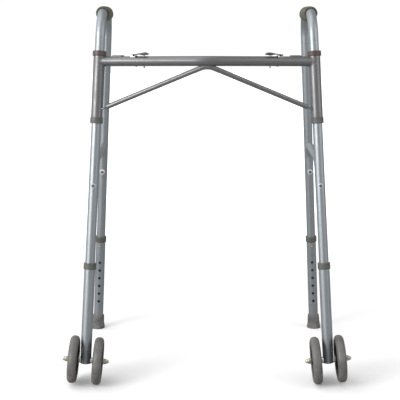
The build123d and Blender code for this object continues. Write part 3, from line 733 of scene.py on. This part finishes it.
class WALKER_OT_grips(Operator):
    """Make the foam grips, which follow the bent top tubes"""
    bl_idname = "walker.grips"
    bl_label = "Foam Grips"

    def execute(self, context):
        for side in SIDES:
            piece = self.grip(side, settings("grip"))
            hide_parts(side + "_grip")
            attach(piece, side + "_side")
        return {"FINISHED"}

    def grip(self, side, grip):
        """Spins a ring round the front bend, draws it along the level tube and spins it again."""
        place = side_place(side, grip.lean)
        rear = place.inverted() @ rear_place(side)
        foot, up = rear.translation, rear.to_3x3() @ Vector((0, 0, 1))
        front_corner = grip.line * tan(grip.lean)
        rear_corner = foot.y + up.y / up.z * (grip.line - foot.z)
        rear_lean = asin(-up.y)
        front_reach = grip.bend * tan((pi / 2 - grip.lean) / 2)
        rear_reach = grip.bend * tan((pi / 2 - rear_lean) / 2)
        front_centre = Vector((0, front_corner + front_reach, grip.line - grip.bend))
        rear_centre = Vector((0, rear_corner - rear_reach, grip.line - grip.bend))
        mesh = bmesh.new()
        ring = bmesh.ops.create_circle(mesh, segments=grip.segments, radius=grip.radius)["verts"]
        bmesh.ops.rotate(mesh, verts=ring, matrix=Matrix.Rotation(pi / 2, 3, "X"))
        bmesh.ops.translate(mesh, verts=ring, vec=(0, front_centre.y, grip.line))
        wrap = Matrix.Rotation(grip.front_wrap, 3, "X")
        bmesh.ops.rotate(mesh, verts=ring, cent=front_centre, matrix=wrap)
        first = list(mesh.edges)
        edge = self.spin(mesh, first, front_centre, -grip.front_wrap, FRONT_STEPS)
        along = rear_centre.y - front_centre.y
        for _ in range(LEVEL_STEPS):
            drawn = bmesh.ops.extrude_edge_only(mesh, edges=edge)["geom"]
            moved = [v for v in drawn if isinstance(v, bmesh.types.BMVert)]
            bmesh.ops.translate(mesh, verts=moved, vec=(0, along / LEVEL_STEPS, 0))
            edge = [e for e in drawn if isinstance(e, bmesh.types.BMEdge)]
        last = self.spin(mesh, edge, rear_centre, -grip.rear_wrap, REAR_STEPS)
        self.round_end(mesh, first, grip, front_centre, grip.front_wrap)
        self.round_end(mesh, last, grip, rear_centre, -grip.rear_wrap)
        self.press_seam(mesh, grip, front_centre, rear_centre)
        piece = finished(side + "_foam_grip", mesh, finish_of("foam"), place)
        smooth = piece.modifiers.new("Smooth foam", "SUBSURF")
        smooth.levels = smooth.render_levels = 1
        return piece

    def spin(self, mesh, edges, centre, angle, steps):
        verts = list({v for e in edges for v in e.verts})
        made = bmesh.ops.spin(mesh, geom=edges + verts, cent=centre, axis=(1, 0, 0), dvec=(0, 0, 0),
                              angle=angle, steps=steps)["geom_last"]
        return [e for e in made if isinstance(e, bmesh.types.BMEdge)]

    def round_end(self, mesh, edges, grip, centre, angle):
        """Rolls an open end in to the tube: each ring is drawn on a little and made smaller."""
        middle = centre + Matrix.Rotation(angle, 3, "X") @ Vector((0, 0, grip.bend))
        way = Matrix.Rotation(angle, 3, "X") @ Vector((0, -1 if angle > 0 else 1, 0))
        reach, size = 0.0, grip.radius
        for step in range(1, 5):
            rolled = step / 4 * pi / 2
            depth = grip.lip * sin(rolled) - reach
            new_size = grip.radius - grip.lip * (1 - cos(rolled))
            edges = self.drawn_ring(mesh, edges, middle + way * reach, way * depth, new_size / size)
            reach, size = reach + depth, new_size
        edges = self.drawn_ring(mesh, edges, middle + way * reach, way * 0, grip.bore / size)
        self.drawn_ring(mesh, edges, middle + way * reach, way * -grip.lip * 2, 1.0)

    def drawn_ring(self, mesh, edges, centre, step, factor):
        drawn = bmesh.ops.extrude_edge_only(mesh, edges=edges)["geom"]
        verts = [v for v in drawn if isinstance(v, bmesh.types.BMVert)]
        for vert in verts:
            vert.co = centre + (vert.co - centre) * factor + step
        return [e for e in drawn if isinstance(e, bmesh.types.BMEdge)]

    def press_seam(self, mesh, grip, front_centre, rear_centre):
        """Crowns the foam between its ends and presses in the slit along its underside."""
        span = rear_centre.y - front_centre.y
        for vert in mesh.verts:
            along = (vert.co.y - front_centre.y) / span
            if not 0 <= along <= 1:
                continue
            axis = Vector((0, vert.co.y, grip.line))
            out = vert.co - axis
            swell = 1 + SWELL * sin(pi * along)
            if out.normalized().z < SEAM_DOWN:
                swell -= grip.seam / grip.radius
            vert.co = axis + out * swell


class WALKER_OT_feet(Operator):
    """Make the rubber feet, flat where they stand"""
    bl_idname = "walker.feet"
    bl_label = "Rubber Feet"

    def execute(self, context):
        foot = settings("foot")
        for side in SIDES:
            outline = rounded([
                (foot.tube, foot.top, 0.0005),
                (foot.neck - 0.0012, foot.top, 0.0012),
                (foot.neck, foot.top - 0.004, 0.0015),
                (foot.neck + 0.0007, 0.022, 0.001),
                (foot.neck + 0.0016, 0.0125, 0.001),
                (foot.base - 0.0004, 0.0085, 0.0012),
                (foot.base - 0.0010, 0.0072, 0.0004),
                (foot.base - 0.0001, 0.0058, 0.0004),
                (foot.base, -0.005, 0),
                (0.0002, -0.005, 0),
                (0.0002, 0.012, 0),
                (foot.tube, 0.012, 0),
            ])
            mesh = turned(outline, foot.segments)
            place = rear_place(side)
            mesh.transform(place)
            cut = bmesh.ops.bisect_plane(mesh, geom=mesh.verts[:] + mesh.edges[:] + mesh.faces[:],
                                         plane_co=(0, 0, 0.0), plane_no=(0, 0, 1), clear_inner=True)
            rim = [e for e in cut["geom_cut"] if isinstance(e, bmesh.types.BMEdge)]
            bmesh.ops.contextual_create(mesh, geom=rim)
            piece = finished(side + "_rubber_foot", mesh, finish_of("foot_rubber"))
            piece.data.set_sharp_from_angle(angle=radians(50))
            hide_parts(side + "_rear_foot")
            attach(piece, side + "_rear_extension")
        return {"FINISHED"}


class WALKER_OT_tyres(Operator):
    """Make the four tyres with a rounded tread and a moulding line round its middle"""
    bl_idname = "walker.tyres"
    bl_label = "Tyres"

    def execute(self, context):
        wheel = settings("wheel")
        half, rim_half, r = wheel.width / 2, wheel.rim_width / 2, wheel.radius
        line = wheel.line
        crown = [(r - wheel.shoulder * (1 - sin(up)), half - wheel.crown * (1 - cos(up)), 0)
                 for up in (radians(15 * n) for n in range(6))]
        outer = [
            (wheel.rim, rim_half, 0.0004),
            (wheel.rim + 0.0016, rim_half, 0.0006),
            (wheel.rim + 0.0026, half - 0.0008, 0.0008),
            *crown,
            (r - line * 0.3, line * 1.6, 0.0004),
            (r, line * 0.8, 0.0003),
        ]
        inner = [(radius, -height, rounding) for radius, height, rounding in reversed(outer)]
        outline = rounded(outer + inner)
        for side in SIDES:
            for name in WHEELS:
                spin = f"{side}_{name}_wheel_spin"
                turn = joint_axis(spin).to_track_quat("Z", "Y").to_matrix().to_4x4()
                axle = Matrix.Translation(joint_point(spin)) @ turn
                mesh = turned(outline, wheel.segments)
                piece = finished(f"{side}_{name}_moulded_tyre", mesh, finish_of("tyre_rubber"), axle)
                piece.data.set_sharp_from_angle(angle=radians(40))
                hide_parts(f"{side}_{name}_tyre")
                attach(piece, f"{side}_{name}_wheel")
        return {"FINISHED"}


class WALKER_OT_plugs(Operator):
    """Make the plastic plugs in the lower ends of the front legs"""
    bl_idname = "walker.plugs"
    bl_label = "Leg Plugs"

    def execute(self, context):
        outer, bore, flange = 14.2 * MM, 12.7 * MM, 2.2 * MM
        low = -7 * MM
        outline = rounded([
            (0.0002, low - flange, 0),
            (outer - 0.003, low - flange, 0.002),
            (outer, low - 0.0008, 0.001),
            (outer, low, 0.0003),
            (bore, low, 0),
            (bore, low + 0.006, 0.0006),
            (0.0002, low + 0.006, 0),
        ])
        for side in SIDES:
            piece = finished(side + "_leg_plug", turned(outline, 48), finish_of("plug_plastic"),
                             front_place(side))
            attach(piece, side + "_front_extension")
        return {"FINISHED"}


BRACE_BEAD = 0.75           # size of the brace's beads beside the crossbar's
RIPPLE = 0.22               # depth of the ripples as a share of the bead


class WALKER_OT_welds(Operator):
    """Make the rippled weld beads where the crossbar and the brace meet the sleeves"""
    bl_idname = "walker.welds"
    bl_label = "Weld Beads"

    def execute(self, context):
        weld = settings("weld")
        for side in SIDES:
            for name, place, half_width, half_height, size in (
                    ("bar", bar_place(side), weld.bar, weld.bar, weld.bead),
                    ("brace", brace_place(side, weld), weld.tab_width, weld.tab_height,
                     weld.bead * BRACE_BEAD)):
                post = place.inverted().to_3x3() @ joint_axis(side + "_front_height")
                mesh = self.bead(weld, half_width, half_height, size, post)
                piece = finished(f"{side}_{name}_weld", mesh, finish_of("cross_paint"), place)
                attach(piece, "cross_frame")
        return {"FINISHED"}

    def bead(self, weld, half_width, half_height, size, post):
        """A ring of weld round a tube on X, pushed along it on to a round post through the origin."""
        mesh = bmesh.new()
        section = bmesh.ops.create_circle(mesh, segments=10, radius=size)["verts"]
        bmesh.ops.rotate(mesh, verts=section, matrix=Matrix.Rotation(pi / 2, 3, "X"))
        bmesh.ops.translate(mesh, verts=section, vec=(0, 0, weld.bar))
        bmesh.ops.spin(mesh, geom=mesh.verts[:] + mesh.edges[:], cent=(0, 0, 0), axis=(1, 0, 0),
                       dvec=(0, 0, 0), angle=2 * pi, steps=weld.ripples * 4, use_merge=True)
        bmesh.ops.remove_doubles(mesh, verts=mesh.verts, dist=1e-6)
        for vert in mesh.verts:
            out = Vector((0, vert.co.y, vert.co.z)).normalized()
            on_tube = Vector((0, out.y * half_width, out.z * half_height))
            ripple = 1 + RIPPLE * sin(weld.ripples * out.angle(Vector((0, 0, 1))) * 2)
            vert.co = on_tube + (vert.co - out * weld.bar) * ripple
            vert.co.x += self.reach(on_tube, post, weld.sleeve)
        return mesh

    def reach(self, start, post, radius):
        """How far along X a line through start meets a round post through the origin."""
        along = Vector((1, 0, 0)) - post * post.x
        across = start - post * start.dot(post)
        a, b, c = along.dot(along), 2 * along.dot(across), across.dot(across) - radius * radius
        return (-b + sqrt(max(b * b - 4 * a * c, 0.0))) / (2 * a)


FLOOR_HALF = 14.0
KEY_PLACE, KEY_SIZE = Vector((-3.0, -2.5, 1.8)), 1.8
FILL_PLACE, FILL_SIZE = Vector((3.0, -1.5, 2.0)), 2.6
LIT_POINT = Vector((0, 0, 0.5))         # both lights point at it
GLOW_DEPTHS = (0.5, 2.5)                # the floor's glow grows between these Y values
ROOM_ACROSS = (-0.9, 0.2)               # the room darkens between these X parts of a direction
ROOM_UPWARD = (-0.6, 0.9, 0.8, 1.25)    # from the first Z part to the second: times 0.8 to 1.25
OVERHEAD_WAY = Vector((-0.3, -0.05, 0.95)).normalized()
OVERHEAD_EDGE = (0.84, 0.93)            # cosines of the angles where the bright patch ends and starts
BACKDROP = 1.05                         # brightness of the world as the camera sees it


class WALKER_OT_stage(Operator):
    """Set the pale floor, the soft lights and the camera"""
    bl_idname = "walker.stage"
    bl_label = "Studio"

    def execute(self, context):
        scene = context.scene
        stage = settings("stage")
        scene.view_settings.view_transform = "Standard"
        self.floor(stage)
        scene.world = self.world(stage)
        self.light("key_light", KEY_PLACE, KEY_SIZE, stage.key)
        self.light("fill_light", FILL_PLACE, FILL_SIZE, stage.fill)
        scene.camera = self.camera(stage)
        return {"FINISHED"}

    def floor(self, stage):
        mesh = bmesh.new()
        bmesh.ops.create_grid(mesh, x_segments=2, y_segments=2, size=FLOOR_HALF)
        as_piece("floor", mesh, self.floor_material(stage))

    def floor_material(self, stage):
        """White to look at, with soft shadows, and greyer where the metal mirrors it."""
        material, tree, shader = new_material("pale_floor", Roughness=0.9, Specular_IOR_Level=0.0)
        seen = tree.nodes.new("ShaderNodeLightPath").outputs["Is Camera Ray"]
        tree.links.new(blended(tree, seen, shade(stage.floor, stage.bounce), tuple(stage.floor)),
                       shader.inputs["Base Color"])
        shader.inputs["Emission Color"].default_value = (1, 1, 1, 1)
        depth = node_at(tree, "ShaderNodeSeparateXYZ", Vector=object_coordinates(tree))
        glow = ramp(tree, depth.outputs["Y"], *GLOW_DEPTHS, stage.glow, stage.far_glow)
        tree.links.new(math(tree, "MULTIPLY", seen, glow), shader.inputs["Emission Strength"])
        return material

    def world(self, stage):
        """White to look at; the metal mirrors a room that is brighter to the left and above."""
        world = bpy.data.worlds.new("pale_surround")
        world.use_nodes = True
        tree = world.node_tree
        background = tree.nodes["Background"]
        background.inputs["Color"].default_value = (1, 1, 1, 1)
        way = tree.nodes.new("ShaderNodeTexCoord").outputs["Generated"]
        parts = node_at(tree, "ShaderNodeSeparateXYZ", Vector=way)
        across = ramp(tree, parts.outputs["X"], *ROOM_ACROSS, stage.left, stage.right)
        upward = ramp(tree, parts.outputs["Z"], *ROOM_UPWARD)
        above = tree.nodes.new("ShaderNodeVectorMath")
        above.operation = "DOT_PRODUCT"
        tree.links.new(way, above.inputs[0])
        above.inputs[1].default_value = OVERHEAD_WAY
        patch = ramp(tree, above.outputs["Value"], *OVERHEAD_EDGE, 0.0, stage.overhead)
        room = math(tree, "ADD", math(tree, "MULTIPLY", across, upward), patch)
        seen = tree.nodes.new("ShaderNodeLightPath").outputs["Is Camera Ray"]
        away = math(tree, "SUBTRACT", 1.0, seen)
        backdrop = math(tree, "MULTIPLY", seen, BACKDROP)
        strength = math(tree, "ADD", math(tree, "MULTIPLY", room, away), backdrop)
        tree.links.new(strength, background.inputs["Strength"])
        return world

    def light(self, name, place, size, power):
        light = bpy.data.lights.new(name, "AREA")
        light.energy = power
        light.size = size
        lamp = linked(name, light)
        lamp.location = place
        lamp.rotation_euler = (LIT_POINT - place).to_track_quat("-Z", "Y").to_euler()

    def camera(self, stage):
        wheels = [joint_point(f"{side}_{wheel}_wheel_spin") for side in SIDES for wheel in WHEELS]
        axles = sum(wheels, Vector()) / len(wheels)
        camera = bpy.data.cameras.new("camera")
        camera.lens = stage.lens
        camera.shift_x = stage.shift
        holder = linked("camera", camera)
        holder.location = (stage.side, axles.y - stage.distance, stage.eye_height)
        holder.rotation_euler = (Matrix.Rotation(-stage.pan, 4, "Z")
                                 @ Matrix.Rotation(pi / 2 - stage.tilt, 4, "X")
                                 @ Matrix.Rotation(stage.roll, 4, "Z")).to_euler()
        return holder


OPERATORS = (
    WALKER_OT_finishes,
    WALKER_OT_fittings,
    WALKER_OT_grips,
    WALKER_OT_feet,
    WALKER_OT_tyres,
    WALKER_OT_plugs,
    WALKER_OT_welds,
    WALKER_OT_stage,
)


class WALKER_PT_panel(Panel):
    """Lists the pieces in the sidebar of the 3D view"""
    bl_idname = "WALKER_PT_panel"
    bl_label = "Walking Frame"
    bl_space_type = "VIEW_3D"
    bl_region_type = "UI"
    bl_category = "Walking Frame"

    def draw(self, context):
        for operator in OPERATORS:
            self.layout.operator(operator.bl_idname)
        for group, kind in GROUPS.items():
            box = self.layout.box()
            box.label(text=kind.__doc__)
            for name in kind.__annotations__:
                box.prop(settings(group), name)


CLASSES = (*GROUPS.values(), *OPERATORS, WALKER_PT_panel)


def register():
    for kind in CLASSES:
        bpy.utils.register_class(kind)
    for group, kind in GROUPS.items():
        setattr(bpy.types.Scene, "walking_frame_" + group, PointerProperty(type=kind))


def unregister():
    for group in GROUPS:
        delattr(bpy.types.Scene, "walking_frame_" + group)
    for kind in reversed(CLASSES):
        bpy.utils.unregister_class(kind)


def main():
    """Registers the add-on and makes every piece in order."""
    register()
    for operator in OPERATORS:
        group, name = operator.bl_idname.split(".")
        getattr(getattr(bpy.ops, group), name)()


if __name__ == "__main__":
    main()
